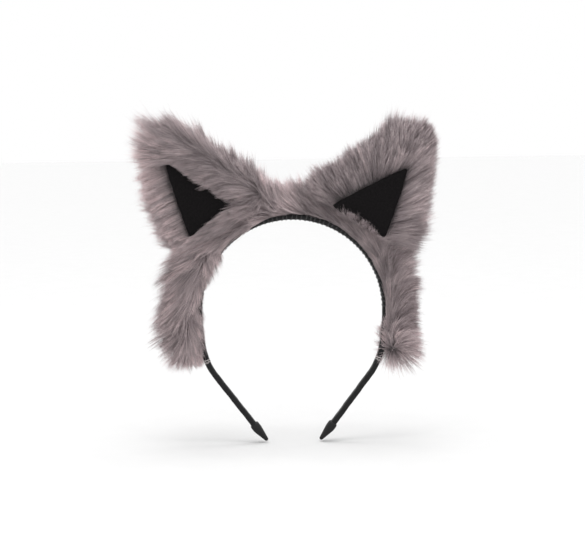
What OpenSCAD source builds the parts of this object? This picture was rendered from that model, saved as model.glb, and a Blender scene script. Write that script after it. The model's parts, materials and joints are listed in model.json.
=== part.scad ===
// Animal ears headband: a plastic spring band sleeved in satin, with a faux fur
// strip sewn along it and two wired, lined fur ears standing on the strip.
// Millimetres, +Z up, front towards -Y. Left is -X, as seen from the front.
// The origin is the centre of the arch that sits on the head.

/* [Head arch] */
// Radius of the arch, measured inside the satin sleeve
head_radius = 62; // [60:0.5:64]
// Radius of the flatter stretch below each temple
temple_radius = 140; // [120:5:160]
// Angle of the flatter stretch
temple_angle = 11; // [9:0.5:12]
// Radius of the bend above each leg
bend_radius = 43; // [38:1:48]
// Angle of the bend
bend_angle = 26; // [23:1:28]
// Straight leg, from the bend to the end cap
leg_length = 42; // [32:1:48]

/* [Band] */
// Thickness of the plastic spring strip
strip_thickness = 2.3; // [1.8:0.1:2.6]
// Width of the plastic spring strip, front to back
strip_width = 5; // [4:0.2:6]
// Thickness of the padded satin sleeve on each face of the strip
sleeve_thickness = 0.8; // [0.6:0.1:1]

/* [Flex] */
// Angle from the top of the arch to the place where each arm flexes
flex_angle = 11; // [10:0.5:12]
// How far each arm opens when the band is worn
arm_opening = 8; // [4:1:9]

/* [End caps] */
// Length of an end cap
cap_length = 15.4; // [13:0.2:18]
// Thickness of an end cap at its shoulder
cap_thickness = 6.3; // [5.8:0.1:7]
// Width of an end cap at its shoulder, front to back
cap_width = 8.6; // [8.4:0.1:10]
// Depth of the socket that takes the leg
cap_socket = 6; // [4:0.5:8]

/* [Fur strip] */
// Radius of the pile on the strip over the head
crown_pile_radius = 12; // [11:0.5:13]
// Radius of the pile on the long tuft that hangs at each temple
side_pile_radius = 14.5; // [13:0.5:15]
// How far the long tuft hangs below the middle of the arch
side_drop = 42; // [34:1:44]

/* [Ears] */
// Lean of each ear away from upright
ear_lean = 35; // [34:0.5:37]
// Radius of the pile along the edge of an ear
ear_edge_radius = 9; // [8:0.5:10]
// Radius of the pile over the middle of an ear
ear_middle_radius = 15; // [13:0.5:16]
// Height of an ear, from its base seam to the top of its pile
ear_height = 88; // [80:1:92]
// Diameter of the ear wire
wire_diameter = 1.6; // [1.2:0.1:1.8]
// Thickness of the felt
felt_thickness = 1.5; // [1:0.1:2]

/* [Stitches] */
// Distance from one whip stitch to the next
stitch_pitch = 3.3; // [3:0.1:5]
// Diameter of the sewing thread
thread_diameter = 0.6; // [0.4:0.1:0.7]

/* [Hidden] */
$fn = 48;

// Room between neighbouring pieces of one body
fit_gap = 0.05;
// Room between the crown and an arm at the flex line
flex_gap = 0.3;
// How far one stretch of the arm runs into the next, so that they are one piece:
// millimetres along the leg, degrees round the bend
joint_overlap = 0.03;
// Larger than any cut needs
big = 120;

// Band
sleeved_depth = strip_thickness + 2 * sleeve_thickness;
sleeved_width = strip_width + 2 * sleeve_thickness;
band_outer = head_radius + sleeved_depth;
arm_start = 90 - flex_angle;
flex_gap_angle = flex_gap / band_outer * 180 / PI;
flex_point = band_outer * [cos(arm_start), sin(arm_start)];
leg_lean = temple_angle + bend_angle;

// Centres and ends of the arcs, in the plane of the band
temple_centre = [head_radius - temple_radius, 0];
temple_end = temple_centre + temple_radius * [cos(temple_angle), -sin(temple_angle)];
bend_centre = temple_end - bend_radius * [cos(temple_angle), -sin(temple_angle)];
bend_end = bend_centre + bend_radius * [cos(leg_lean), -sin(leg_lean)];

// Fur strip, as depths outward from the inner face of the band
crown_pile_depth = 10;
side_pile_depth = 15.5;
side_arc = 40;
end_tack_angle = 9;

// Ears, in a frame whose Y axis leans with the ear, measured from the arch centre
ear_clear = band_outer + 2.3;
ear_base = ear_clear + 1.8;
ear_top = ear_base + ear_height;
ear_low = ear_base + ear_edge_radius;
ear_high = ear_top - ear_edge_radius;
ear_outline = [
    [-19, ear_low], [-23, ear_low + 14], [-1, ear_high],
    [15, ear_high - 2], [28, ear_low + 33], [33, ear_low]
];
ear_middle = [[4, ear_base + 30], [6, ear_base + 46]];
wire_feet = [[-18, ear_base + 1.5], [30, ear_base + 1.5]];
wire_bend_radius = 6;
wire_bend_centre = [8, ear_high - 2 - wire_bend_radius];
wadding_corners = [[-8, ear_base + 11], [7, ear_high - 17], [21.5, ear_base + 11]];
wadding_radius = 4.5;
felt_corners = [[-12, ear_base + 12], [25, ear_base + 12.5], [12, ear_base + 54.5]];
felt_corner_radius = 2;
felt_back = 7;

// ---- Helpers, drawn flat: X to the right, Y up the arch, Z to the front ----

// Stands a flat drawing up, so that its Z axis faces the front
module upright() {
    rotate([90, 0, 0])
        children();
}

// Puts what is drawn for the right side on the given side
module on_side(side) {
    if (side == "right") upright() children();
    else mirror([1, 0, 0]) upright() children();
}

// Turns into the leaning frame of the right ear
module on_ear() {
    rotate([0, 0, -ear_lean])
        children();
}

// Rectangle from one depth to another on X, centred on Y
module bar(low, high, width) {
    translate([low, -width / 2])
        square([high - low, width]);
}

// Flat ring between two radii, from one angle to another
module ring_sector(inner, outer, low, high) {
    middle = (low + high) / 2;
    intersection() {
        difference() {
            circle(outer, $fn = 180);
            circle(inner, $fn = 180);
        }
        polygon([
            [0, 0], 2 * outer * [cos(low), sin(low)],
            2 * outer * [cos(middle), sin(middle)], 2 * outer * [cos(high), sin(high)]
        ]);
    }
}

// Carries a cross-section along the arch, from one angle above the X axis to another
module along_arch(low, high) {
    rotate([0, 0, low])
        rotate_extrude(angle = high - low)
            translate([head_radius, 0])
                children();
}

// Moves to the top of the straight leg, with -Y along the leg
module at_leg() {
    translate([bend_end.x, bend_end.y, 0])
        rotate([0, 0, -leg_lean])
            children();
}

// Side view of the arm between two depths outward from the inner face of the band
module arm_outline(low, high, start, length) {
    ring_sector(head_radius + low, head_radius + high, 0, start);
    translate(temple_centre)
        ring_sector(temple_radius + low, temple_radius + high, -temple_angle, 0);
    translate(bend_centre)
        ring_sector(bend_radius + low, bend_radius + high, -leg_lean, joint_overlap - temple_angle);
    translate(bend_end)
        rotate(-leg_lean)
            translate([low, -length])
                square([high - low, length + joint_overlap]);
}

// Slab as wide as the band, from the side view of the arm
module arm_slab(low, high, width, start = arm_start, length = leg_length + cap_socket) {
    linear_extrude(width, center = true)
        arm_outline(low, high, start, length);
}

// Slab as wide as the band, over the crown
module crown_slab(low, high, width, spread = flex_angle - flex_gap_angle) {
    linear_extrude(width, center = true)
        ring_sector(head_radius + low, head_radius + high, 90 - spread, 90 + spread);
}

// Domed pile on the outer face of the band
module crown_pile_section() {
    intersection() {
        translate([crown_pile_depth, 0])
            circle(crown_pile_radius);
        bar(sleeved_depth + fit_gap, big, big);
    }
}

// ---- Spring hoop ----

module hoop_crown() {
    color("#242424") upright()
        crown_slab(sleeve_thickness, sleeve_thickness + strip_thickness, strip_width);
}

module hoop_arm(side) {
    color("#242424") on_side(side)
        arm_slab(sleeve_thickness, sleeve_thickness + strip_thickness, strip_width);
}

// ---- Satin sleeve ----

module sleeve_crown() {
    color("#303032") upright()
        difference() {
            crown_slab(0, sleeved_depth, sleeved_width);
            crown_slab(sleeve_thickness, sleeve_thickness + strip_thickness, strip_width, flex_angle + 1);
        }
}

module sleeve_arm(side) {
    color("#303032") on_side(side)
        difference() {
            arm_slab(0, sleeved_depth, sleeved_width);
            arm_slab(sleeve_thickness, sleeve_thickness + strip_thickness, strip_width,
                     arm_start + 1, leg_length + cap_socket + 1);
        }
}

// ---- End caps ----

// Rounded teardrop, shoulder at the top and tip below it, shifted across by tip_shift
module cap_profile(shoulder_width, tip_width, tip_shift) {
    corner = 1.5;
    hull() {
        for (x = [-1, 1] * (shoulder_width / 2 - corner))
            translate([x, -corner])
                circle(corner, $fn = 32);
        translate([0, -cap_length * 0.3])
            circle(shoulder_width / 2, $fn = 32);
        translate([tip_shift, tip_width / 2 - cap_length])
            circle(tip_width / 2, $fn = 32);
    }
}

// Flattened teardrop with its shoulder round the leg
module cap_body() {
    intersection() {
        linear_extrude(big, center = true)
            cap_profile(cap_thickness, 2.6, 1.2);
        rotate([0, 90, 0])
            linear_extrude(big, center = true)
                cap_profile(cap_width, 4.4, 0);
    }
}

module end_cap(side) {
    color("#1c1c1c") on_side(side)
        difference() {
            at_leg()
                translate([sleeved_depth / 2, -leg_length, 0])
                    cap_body();
            at_leg()
                translate([0, -leg_length - cap_socket, -sleeved_width / 2])
                    cube([sleeved_depth, big, sleeved_width]);
        }
}

// ---- Fur strip ----

module fur_crown() {
    color("#86797b") upright()
        along_arch(arm_start + flex_gap_angle, 180 - arm_start - flex_gap_angle)
            crown_pile_section();
}

// Everything that the ear sweeps through as it tilts
module ear_room() {
    on_ear()
        translate([-big, ear_clear, -big / 2])
            cube([2 * big, big, big]);
}

// Wedge that closes when the arm opens
module flex_room() {
    translate([flex_point.x, flex_point.y, -big / 2])
        rotate([0, 0, arm_start - arm_opening - 1])
            translate([-big / 2, 0, 0])
                cube([big, big, big]);
}

// Long tuft that hangs outside the band, with a round end
module side_tuft() {
    tuft_radius = head_radius + side_pile_depth;
    straight = side_drop - side_pile_radius;
    along_arch(0, side_arc)
        translate([side_pile_depth, 0])
            circle(side_pile_radius);
    translate([tuft_radius, 0, 0])
        rotate([90, 0, 0])
            rotate_extrude() {
                square([side_pile_radius, straight]);
                translate([0, straight])
                    intersection() {
                        circle(side_pile_radius);
                        square(side_pile_radius);
                    }
            }
}

module fur_side(side) {
    stitched_width = sleeved_width + 2 * (thread_diameter + fit_gap);
    color("#857a7a") on_side(side)
        difference() {
            union() {
                along_arch(0, arm_start)
                    crown_pile_section();
                side_tuft();
            }
            arm_slab(-5, sleeved_depth + fit_gap, stitched_width, arm_start + 1);
            ear_room();
            flex_room();
        }
}

// ---- Thread ----

// Slanted stitches on the front and back faces, from the band to the fur strip
module whip_stitches(side) {
    middle_radius = head_radius + sleeved_depth / 2;
    pitch_angle = stitch_pitch / middle_radius * 180 / PI;
    count = floor((arm_start - 4) / pitch_angle);
    slant = 24;
    off_centre = (sleeved_width + thread_diameter) / 2;
    color("#3a393b") on_side(side)
        for (i = [0 : count])
            for (face = [-1, 1])
                rotate([0, 0, 2 + i * pitch_angle])
                    translate([middle_radius, 0, face * off_centre])
                        rotate([0, 0, face * slant])
                            rotate([0, 90, 0])
                                cylinder(sleeved_depth, d = thread_diameter, center = true, $fn = 16);
}

// Three turns of thread round the band where the fur strip ends
module end_tack(side) {
    turn_pitch = 1.1;
    color("#b9b3b1") on_side(side)
        translate([bend_centre.x, bend_centre.y, 0])
            for (i = [0 : 2])
                rotate([0, 0, -temple_angle - end_tack_angle - i * turn_pitch])
                    translate([bend_radius, 0, 0])
                        rotate([90, 0, 0])
                            linear_extrude(thread_diameter, center = true)
                                difference() {
                                    bar(-thread_diameter, sleeved_depth + thread_diameter,
                                        sleeved_width + 2 * thread_diameter);
                                    bar(0, sleeved_depth, sleeved_width);
                                }
}

// Row of thread loops between the band and the base of an ear
module ear_stitches(side) {
    loop_radius = 1.4;
    spacing = 9;
    height = band_outer + fit_gap + thread_diameter / 2 + loop_radius;
    color("#6d6264") on_side(side)
        on_ear()
            for (i = [-1.5 : 1.5])
                translate([i * spacing, height, 0])
                    rotate([0, 90, 0])
                        rotate_extrude()
                            translate([loop_radius, 0])
                                circle(d = thread_diameter, $fn = 16);
}

// ---- Ears ----

// Closed shape round a list of flat corners and thicker middle points
module pile_hull() {
    hull() {
        for (corner = ear_outline)
            translate([corner.x, corner.y, 0])
                sphere(ear_edge_radius, $fn = 28);
        for (centre = ear_middle)
            translate([centre.x, centre.y, 0])
                sphere(ear_middle_radius, $fn = 32);
    }
}

module wadding_shape(extra) {
    hull()
        for (corner = wadding_corners)
            translate([corner.x, corner.y, 0])
                sphere(wadding_radius + extra, $fn = 28);
}

// Angle on the wire's bend where a straight leg from the given foot meets it
function wire_meeting_angle(foot, turn) =
    let (away = foot - wire_bend_centre)
    atan2(away.y, away.x) + turn * acos(wire_bend_radius / norm(away));

// Wire bent to a narrow arch, from one foot over the top of the ear to the other
module wire_shape(diameter) {
    bends = 14;
    sides = 10;
    first = wire_meeting_angle(wire_feet[0], -1);
    last = wire_meeting_angle(wire_feet[1], 1);
    sweep = (first - last + 720) % 360;
    angles = [for (i = [0 : bends]) first - sweep * i / bends];
    path = concat(
        [wire_feet[0]],
        [for (a = angles) wire_bend_centre + wire_bend_radius * [cos(a), sin(a)]],
        [wire_feet[1]]
    );
    outward = concat([first], angles, [last]);
    rings = len(path);
    points = [
        for (i = [0 : rings - 1], j = [0 : sides - 1])
            let (across = diameter / 2 * cos(360 * j / sides))
            [
                path[i].x + across * cos(outward[i]),
                path[i].y + across * sin(outward[i]),
                diameter / 2 * sin(360 * j / sides)
            ]
    ];
    walls = [
        for (i = [0 : rings - 2], j = [0 : sides - 1])
            let (k = (j + 1) % sides)
            [i * sides + j, (i + 1) * sides + j, (i + 1) * sides + k, i * sides + k]
    ];
    ends = [
        [for (j = [0 : sides - 1]) j],
        [for (j = [0 : sides - 1]) rings * sides - 1 - j]
    ];
    polyhedron(points, concat(walls, ends));
}

// Felt outline, grown by extra
module felt_outline(extra) {
    hull()
        for (corner = felt_corners)
            translate(corner)
                circle(felt_corner_radius + extra, $fn = 32);
}

// Space inside the ear for its wadding and its wire
module ear_filling_room() {
    wadding_shape(fit_gap);
    wire_shape(wire_diameter + 2 * fit_gap);
}

module ear_front_fur(side) {
    color("#8c8182") on_side(side) on_ear()
        difference() {
            intersection() {
                pile_hull();
                translate([-big, 0, 0])
                    cube([2 * big, 2 * big, big]);
            }
            ear_filling_room();
            translate([0, 0, felt_back])
                linear_extrude(big)
                    felt_outline(fit_gap);
        }
}

module ear_back_fur(side) {
    color("#82777a") on_side(side) on_ear()
        difference() {
            intersection() {
                pile_hull();
                translate([-big, 0, -big])
                    cube([2 * big, 2 * big, big]);
            }
            ear_filling_room();
        }
}

module ear_felt(side) {
    color("#1d1b1c") on_side(side) on_ear()
        translate([0, 0, felt_back])
            linear_extrude(felt_thickness)
                felt_outline(0);
}

module ear_wadding(side) {
    color("#e8e4df") on_side(side) on_ear()
        wadding_shape(0);
}

module ear_wire(side) {
    color("#9a9a9a") on_side(side) on_ear()
        wire_shape(wire_diameter);
}

hoop_crown();
hoop_arm("left");  // hoop_left_arm
hoop_arm("right");  // hoop_right_arm
sleeve_crown();
sleeve_arm("left");  // sleeve_left_arm
sleeve_arm("right");  // sleeve_right_arm
end_cap("left");  // end_cap_left
end_cap("right");  // end_cap_right
fur_crown();
fur_side("left");  // fur_left_side
fur_side("right");  // fur_right_side
whip_stitches("left");  // whip_stitches_left
whip_stitches("right");  // whip_stitches_right
end_tack("left");  // end_tack_left
end_tack("right");  // end_tack_right
ear_stitches("left");  // ear_stitches_left
ear_stitches("right");  // ear_stitches_right
ear_front_fur("left");  // ear_front_fur_left
ear_front_fur("right");  // ear_front_fur_right
ear_back_fur("left");  // ear_back_fur_left
ear_back_fur("right");  // ear_back_fur_right
ear_felt("left");  // ear_felt_left
ear_felt("right");  // ear_felt_right
ear_wadding("left");  // ear_wadding_left
ear_wadding("right");  // ear_wadding_right
ear_wire("left");  // ear_wire_left
ear_wire("right");  // ear_wire_right
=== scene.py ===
import json
import math

import bpy
import numpy as np
from mathutils import Matrix, Vector


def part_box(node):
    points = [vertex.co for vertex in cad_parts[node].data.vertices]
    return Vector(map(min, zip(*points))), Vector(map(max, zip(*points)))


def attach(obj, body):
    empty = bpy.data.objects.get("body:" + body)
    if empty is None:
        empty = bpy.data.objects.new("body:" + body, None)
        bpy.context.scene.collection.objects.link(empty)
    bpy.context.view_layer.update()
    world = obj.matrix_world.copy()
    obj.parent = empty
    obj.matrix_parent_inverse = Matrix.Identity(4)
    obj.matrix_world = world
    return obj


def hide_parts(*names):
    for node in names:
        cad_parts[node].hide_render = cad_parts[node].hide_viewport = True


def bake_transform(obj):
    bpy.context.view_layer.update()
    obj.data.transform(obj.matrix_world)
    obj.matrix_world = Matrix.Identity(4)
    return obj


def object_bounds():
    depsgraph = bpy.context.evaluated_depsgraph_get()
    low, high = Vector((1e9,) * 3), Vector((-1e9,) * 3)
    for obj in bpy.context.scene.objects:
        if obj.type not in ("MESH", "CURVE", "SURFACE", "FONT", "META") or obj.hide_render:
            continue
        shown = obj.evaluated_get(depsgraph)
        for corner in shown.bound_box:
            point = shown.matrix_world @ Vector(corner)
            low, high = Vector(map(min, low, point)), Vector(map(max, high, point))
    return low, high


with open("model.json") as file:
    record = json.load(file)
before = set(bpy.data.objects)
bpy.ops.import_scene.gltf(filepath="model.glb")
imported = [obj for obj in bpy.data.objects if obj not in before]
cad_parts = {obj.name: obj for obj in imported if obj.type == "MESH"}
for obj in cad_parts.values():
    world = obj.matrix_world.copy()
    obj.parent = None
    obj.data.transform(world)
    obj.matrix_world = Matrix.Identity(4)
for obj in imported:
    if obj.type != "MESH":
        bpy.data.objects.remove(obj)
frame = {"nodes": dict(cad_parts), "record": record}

CAD_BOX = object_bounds()
MM = 0.001
SIDES = {"left": -1.0, "right": 1.0}


# ------------------------------------------------------------ frame facts

RECORD = frame["record"]
JOINTS = {joint["name"]: joint for joint in RECORD["behaviour"]["joints"]}
ARCH = RECORD["mounts"][0]["dims"]["r_mm"] * MM
BAND_CORNER = np.array(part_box("sleeve_crown")[1])
DEPTH = BAND_CORNER[2] - ARCH
HALF_WIDTH = BAND_CORNER[1]
OUTER = ARCH + DEPTH

# The stretches of the right arm below the arch: radius and angle of the inner
# face, in metres and degrees, and the straight leg
TEMPLE = (0.140, 11.0)
BEND = (0.043, 26.0)
LEG = 0.042
SOCKET = 0.006

EAR_BASE = float(np.linalg.norm(JOINTS["right_ear_tilt"]["pos_m"]))
EAR_UP = np.array(JOINTS["right_ear_tilt"]["pos_m"], float) / EAR_BASE
EAR_OUT = np.array([EAR_UP[2], 0.0, -EAR_UP[0]])
FORWARD = np.array([0.0, -1.0, 0.0])
FLEX = np.array(JOINTS["right_arm_flex"]["pos_m"], float)
FLEX_ANGLE = math.degrees(math.atan2(FLEX[2], FLEX[0]))


def unit(vectors):
    """Vectors scaled to a length of one."""
    return vectors / np.maximum(np.linalg.norm(vectors, axis=-1, keepdims=True), 1e-12)


def mirrored(points, side):
    """Points of the right half, put on the given side."""
    points = np.array(points, float)
    points[..., 0] *= SIDES[side]
    return points


def ear_point(u, v, n, side):
    """A point of an ear: u outward along its base, v up from the arch centre, n forward."""
    u, v, n = (np.asarray(a, float)[..., None] for a in (u, v, n))
    return mirrored(u * EAR_OUT + v * EAR_UP + n * FORWARD, side)


def ear_place(points, side):
    """(u, v) of points of an ear."""
    right = mirrored(points, side)
    return right @ EAR_OUT, right @ EAR_UP


# ------------------------------------------------------------ meshes

def mesh_from(name, verts, quads, triangles=(), uv=None, uv_name="OFBake"):
    """An object from arrays of points, quads and triangles, smooth shaded.

    uv holds one (u, v) for each vertex.
    """
    verts = np.asarray(verts, np.float32)
    quads = np.asarray(quads, np.int32).reshape(-1, 4)
    triangles = np.asarray(triangles, np.int32).reshape(-1, 3)
    loops = np.concatenate([quads.ravel(), triangles.ravel()])
    sizes = np.concatenate([np.full(len(quads), 4), np.full(len(triangles), 3)])
    starts = np.concatenate([[0], np.cumsum(sizes)[:-1]]).astype(np.int32)
    mesh = bpy.data.meshes.new(name)
    mesh.vertices.add(len(verts))
    mesh.vertices.foreach_set("co", verts.ravel())
    mesh.loops.add(len(loops))
    mesh.loops.foreach_set("vertex_index", loops)
    mesh.polygons.add(len(sizes))
    mesh.polygons.foreach_set("loop_start", starts)
    mesh.update(calc_edges=True)
    mesh.polygons.foreach_set("use_smooth", np.ones(len(sizes), bool))
    if uv is not None:
        layer = mesh.uv_layers.new(name=uv_name)
        layer.data.foreach_set("uv", np.asarray(uv, np.float32)[loops].ravel())
    obj = bpy.data.objects.new(name, mesh)
    bpy.context.scene.collection.objects.link(obj)
    return obj


def wrapped_quads(rings, sides):
    """Quads between closed rings of points."""
    i, j = np.meshgrid(np.arange(rings - 1), np.arange(sides), indexing="ij")
    k = (j + 1) % sides
    return np.stack(
        [i * sides + j, i * sides + k, (i + 1) * sides + k, (i + 1) * sides + j], -1
    ).reshape(-1, 4)


def turned(faces, side):
    """Faces drawn for the right side, wound for the given side."""
    return faces if side == "right" else faces[:, ::-1]


def tube_faces(rings, sides):
    """Quads round a tube of rings, and triangles that close it on its two end centres."""
    first, last = rings * sides, rings * sides + 1
    j = np.arange(sides)
    k = (j + 1) % sides
    ends = np.concatenate([
        np.stack([np.full(sides, first), k, j], -1),
        np.stack([np.full(sides, last), first - sides + j, first - sides + k], -1)])
    return wrapped_quads(rings, sides), ends


def capped_tube(centres, across, up, outline, side="right"):
    """Points, quads, triangles and (along, round) of a tube with closed ends.

    outline is (rings, sides, 2), measured along across and up at each centre.
    """
    rings, sides = outline.shape[:2]
    points = (
        centres[:, None]
        + outline[..., :1] * across[:, None]
        + outline[..., 1:] * up[:, None]
    )
    verts = np.concatenate([points.reshape(-1, 3), centres[:1], centres[-1:]])
    quads, ends = tube_faces(rings, sides)
    along = np.concatenate([[0], np.cumsum(np.linalg.norm(np.diff(centres, axis=0), axis=1))])
    around = np.linspace(0, 1, sides, endpoint=False)
    uv = np.stack(np.meshgrid(along, around, indexing="ij"), -1).reshape(-1, 2)
    uv = np.concatenate([uv, [[along[0], 0.5], [along[-1], 0.5]]])
    return mirrored(verts, side), turned(quads, side), turned(ends, side), uv


def squared(angle, power):
    """(x, y) at angles of a unit circle pressed towards a square: a power of 1 is round."""
    c, s = np.cos(angle), np.sin(angle)
    return np.sign(c) * np.abs(c) ** power, np.sign(s) * np.abs(s) ** power


def superellipse(half_x, half_y, power, sides):
    """One closed outline, or one for each pair of halves."""
    x, y = squared(np.linspace(0, 2 * math.pi, sides, endpoint=False), 2 / power)
    half_x, half_y = np.atleast_1d(half_x), np.atleast_1d(half_y)
    return np.stack([half_x[:, None] * x, half_y[:, None] * y], -1)


def thread_tube(path, radius, sides=6):
    """Points, quads, triangles and uv of a thin round thread along a path of points."""
    tangent = unit(np.gradient(path, axis=0))
    helper = np.where(np.abs(tangent[:, 1:2]) < 0.8, [[0.0, 1.0, 0.0]], [[1.0, 0.0, 0.0]])
    across = unit(np.cross(tangent, helper))
    up = np.cross(tangent, across)
    outline = np.repeat(superellipse(radius, radius, 2, sides), len(path), axis=0)
    return capped_tube(path, across, up, outline)


def joined(parts):
    """Several (points, quads, triangles, uv) as one."""
    offset, verts, quads, triangles, uvs = 0, [], [], [], []
    for points, quad, triangle, uv in parts:
        verts.append(points)
        quads.append(quad + offset)
        triangles.append(triangle + offset)
        uvs.append(uv)
        offset += len(points)
    return tuple(np.concatenate(a) for a in (verts, quads, triangles, uvs))


def thread_object(name, threads, side):
    """An object of threads, each a (path, radius) of the right half, on the given side."""
    verts, quads, triangles, uv = joined([thread_tube(*thread) for thread in threads])
    return mesh_from(name, mirrored(verts, side), turned(quads, side),
                     turned(triangles, side), uv, "Along")


def shell_object(name, verts, rings, sides, facing):
    """Closed shell from a face and a lining, and the quads of its face.

    Each is rings of points from its middle outward; the two middles come last. The
    face looks along facing.
    """
    count = rings * sides
    quads = wrapped_quads(rings, sides)
    j = np.arange(sides)
    k = (j + 1) % sides
    edge = count - sides
    rim = np.stack([edge + j, edge + k, count + edge + k, count + edge + j], -1)
    faces = np.concatenate([quads, quads[:, ::-1] + count, rim])
    middle = np.concatenate([
        np.stack([np.full(sides, 2 * count), k, j], -1),
        np.stack([np.full(sides, 2 * count + 1), count + j, count + k], -1)])
    corner = verts[quads[0]]
    if np.cross(corner[1] - corner[0], corner[3] - corner[0]) @ facing < 0:
        quads, faces, middle = quads[:, ::-1], faces[:, ::-1], middle[:, ::-1]
    return mesh_from(name, verts, faces, middle), quads


def finished(obj, mat, slot, body, *nodes, fill=None):
    """Give a piece its material and body, and the CAD nodes that it replaces.

    slot and fill are not used.
    """
    obj.data.materials.append(mat)
    if nodes:
        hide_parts(*nodes)
    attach(obj, body)


def smooth_loop(corners, rounds=3):
    """A closed outline with its corners cut off again and again."""
    points = np.array(corners, float)
    for _ in range(rounds):
        after = np.roll(points, -1, axis=0)
        points = np.stack([0.75 * points + 0.25 * after, 0.25 * points + 0.75 * after], 1)
        points = points.reshape(-1, 2)
    return points


def even_loop(points, count):
    """A closed outline as count points at even distances."""
    closed = np.concatenate([points, points[:1]])
    along = np.concatenate([[0], np.cumsum(np.linalg.norm(np.diff(closed, axis=0), axis=1))])
    want = np.linspace(0, along[-1], count, endpoint=False)
    return np.stack([np.interp(want, along, closed[:, k]) for k in (0, 1)], -1)


def edge_distance(points, outline):
    """Distance of flat points to a closed outline, positive inside it."""
    a, b = outline, np.roll(outline, -1, axis=0)
    ab = b - a
    away = points[:, None] - a
    t = np.clip((away * ab).sum(-1) / (ab * ab).sum(-1), 0, 1)
    distance = np.linalg.norm(away - t[..., None] * ab, axis=-1).min(1)
    y = points[:, 1:2]
    crosses = (a[:, 1] > y) != (b[:, 1] > y)
    slope = (b[:, 0] - a[:, 0]) / np.where(b[:, 1] == a[:, 1], 1e-12, b[:, 1] - a[:, 1])
    x = a[:, 0] + (y - a[:, 1]) * slope
    inside = (crosses & (points[:, :1] < x)).sum(1) % 2 == 1
    return np.where(inside, distance, -distance)


# ------------------------------------------------------------ materials

def material(name, rough=0.6, metallic=0.0, specular=0.5, sheen=0.0, sheen_rough=0.5,
             anisotropic=0.0):
    """A new material, its node tree, and its shader."""
    mat = bpy.data.materials.new(name)
    mat.use_nodes = True
    shader = mat.node_tree.nodes["Principled BSDF"]
    shader.inputs["Roughness"].default_value = rough
    shader.inputs["Metallic"].default_value = metallic
    shader.inputs["Specular IOR Level"].default_value = specular
    shader.inputs["Sheen Weight"].default_value = sheen
    shader.inputs["Sheen Roughness"].default_value = sheen_rough
    shader.inputs["Anisotropic"].default_value = anisotropic
    return mat, mat.node_tree, shader


def node(tree, kind, values=(), **settings):
    """A new node with settings, and values for its inputs by name or number."""
    new = tree.nodes.new(kind)
    for key, value in settings.items():
        setattr(new, key, value)
    for key, value in dict(values).items():
        new.inputs[key].default_value = value
    return new


def ramp(tree, source, stops):
    """A colour ramp over source: stops are (position, (r, g, b)) or (position, grey)."""
    new = tree.nodes.new("ShaderNodeValToRGB")
    elements = new.color_ramp.elements
    while len(elements) < len(stops):
        elements.new(0.5)
    for element, (position, colour) in zip(elements, stops):
        element.position = position
        rgb = (colour,) * 3 if isinstance(colour, float) else colour
        element.color = (*rgb, 1)
    tree.links.new(source, new.inputs["Fac"])
    return new.outputs["Color"]


def ramped(tree, shader, socket, source, stops):
    """A colour ramp over source, into one of the shader's sockets."""
    tree.links.new(ramp(tree, source, stops), shader.inputs[socket])


def mixed(tree, kind, factor, a, b):
    """Two colours mixed: factor, a and b are sockets or values."""
    new = node(tree, "ShaderNodeMix", data_type="RGBA", blend_type=kind)
    for socket, value in ((new.inputs[0], factor), (new.inputs[6], a), (new.inputs[7], b)):
        if isinstance(value, bpy.types.NodeSocket):
            tree.links.new(value, socket)
        else:
            socket.default_value = value if isinstance(value, float) else (*value, 1)
    return new.outputs[2]


def bumped(tree, shader, heights, strength=0.3):
    """Heights in metres, one after another, as the shader's bump."""
    normal = None
    for height, distance in heights:
        bump = node(tree, "ShaderNodeBump", {"Strength": strength, "Distance": distance})
        tree.links.new(height, bump.inputs["Height"])
        if normal is not None:
            tree.links.new(normal, bump.inputs["Normal"])
        normal = bump.outputs["Normal"]
    tree.links.new(normal, shader.inputs["Normal"])


def noise(tree, vector, scale, detail=3.0, rough=0.55):
    new = node(tree, "ShaderNodeTexNoise", {"Scale": scale, "Detail": detail, "Roughness": rough})
    tree.links.new(vector, new.inputs["Vector"])
    return new.outputs["Fac"]


def place(tree, scale=(1, 1, 1), turn=(0, 0, 0), uv=None):
    """Coordinates in metres: the object's own, or those of a UV layer."""
    if uv is None:
        source = node(tree, "ShaderNodeTexCoord").outputs["Object"]
    else:
        source = node(tree, "ShaderNodeUVMap", uv_map=uv).outputs["UV"]
    mapping = node(tree, "ShaderNodeMapping", {"Scale": scale, "Rotation": turn})
    tree.links.new(source, mapping.inputs["Vector"])
    return mapping.outputs["Vector"]


def wave(tree, vector, scale, distortion=0.0, direction="X"):
    new = node(tree, "ShaderNodeTexWave", {"Scale": scale, "Distortion": distortion},
               bands_direction=direction)
    tree.links.new(vector, new.inputs["Vector"])
    return new.outputs["Fac"]


def satin_material():
    """Charcoal satin ribbon: long floats along the band, with faint cross ribs."""
    mat, tree, shader = material("satin", rough=0.45, specular=0.2, anisotropic=0.5)
    cloth = place(tree, uv="Along", scale=(1, 0.019, 1))
    ribs = wave(tree, cloth, 420, 0.4)
    floats = wave(tree, cloth, 900, 1.2, "Y")
    mottle = noise(tree, cloth, 260, 4)
    base = ramp(tree, mottle, [(0.3, (0.0045, 0.0045, 0.005)), (0.75, (0.012, 0.012, 0.0125))])
    fleck = ramp(tree, noise(tree, cloth, 1500, 2), [(0.62, 0.0), (0.74, 1.0)])
    colour = mixed(tree, "MIX", fleck, base, (0.030, 0.029, 0.030))
    tree.links.new(colour, shader.inputs["Base Color"])
    ramped(tree, shader, "Roughness", mottle, [(0.2, 0.36), (0.8, 0.52)])
    bumped(tree, shader, [(ribs, 0.00012), (floats, 0.00006), (mottle, 0.0002)], 0.5)
    return mat


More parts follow.
